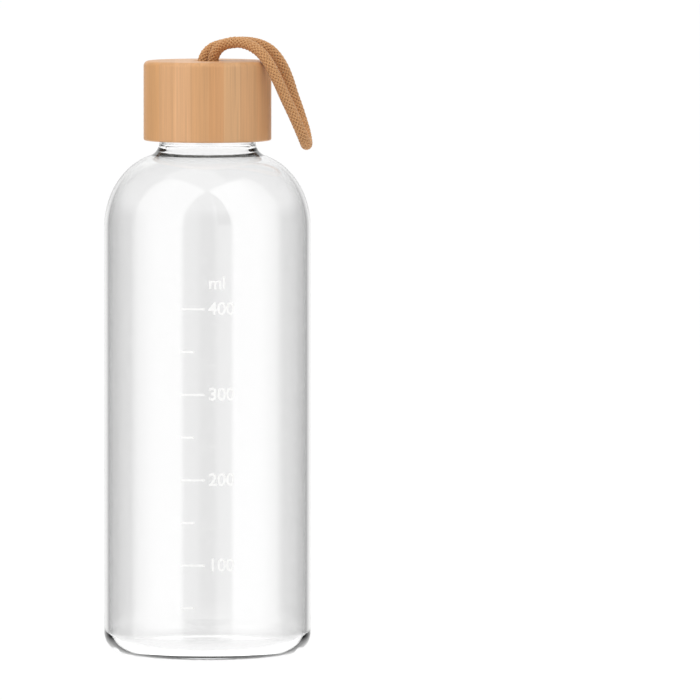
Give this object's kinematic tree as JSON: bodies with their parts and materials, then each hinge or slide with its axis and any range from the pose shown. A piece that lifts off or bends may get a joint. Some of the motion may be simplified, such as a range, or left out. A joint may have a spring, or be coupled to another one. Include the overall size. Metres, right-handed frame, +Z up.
{
  "type": "glass water bottle",
  "caption": "Straight-sided round-shouldered glass drinking bottle with a screw-on bamboo lid, threaded liner, sealing ring and a braided cord carrying loop.",
  "frame": {"origin": "centre of the circle that the bottle stands on", "axes": "+Z up along the bottle's axis, +X towards the side that the carrying loop hangs on, -Y towards the front"},
  "size_m": [0.0706, 0.07, 0.2089],
  "materials": {
    "borosilicate_glass": "clear, blown, fire-polished",
    "bamboo": "turned and sanded, thin clear oil",
    "polypropylene": "moulded, fine matt",
    "silicone": "smooth, matt",
    "braided_cord": "round braid, caramel brown"
  },
  "bodies": {
    "bottle": {"glass_bottle": "borosilicate_glass"},
    "seal": {"sealing_ring": "silicone"},
    "lid": {"lid_shell": "bamboo", "threaded_liner": "polypropylene", "cord_loop": "braided_cord", "cord_knot": "braided_cord"}
  },
  "joints": [
    {"name": "lid_lift", "type": "slide", "parent": "bottle", "child": "seal", "axis": [0, 0, 1], "range_m": [0, 0.016]},
    {"name": "lid_turn", "type": "hinge", "parent": "seal", "child": "lid", "pos_m": [0, 0, 0.1736], "axis": [0, 0, 1], "range_deg": [0, 1440]}
  ],
  "couplings": [
    {"joint": "lid_lift", "follows": "lid_turn", "m_per_rad": 0.00063662}
  ]
}
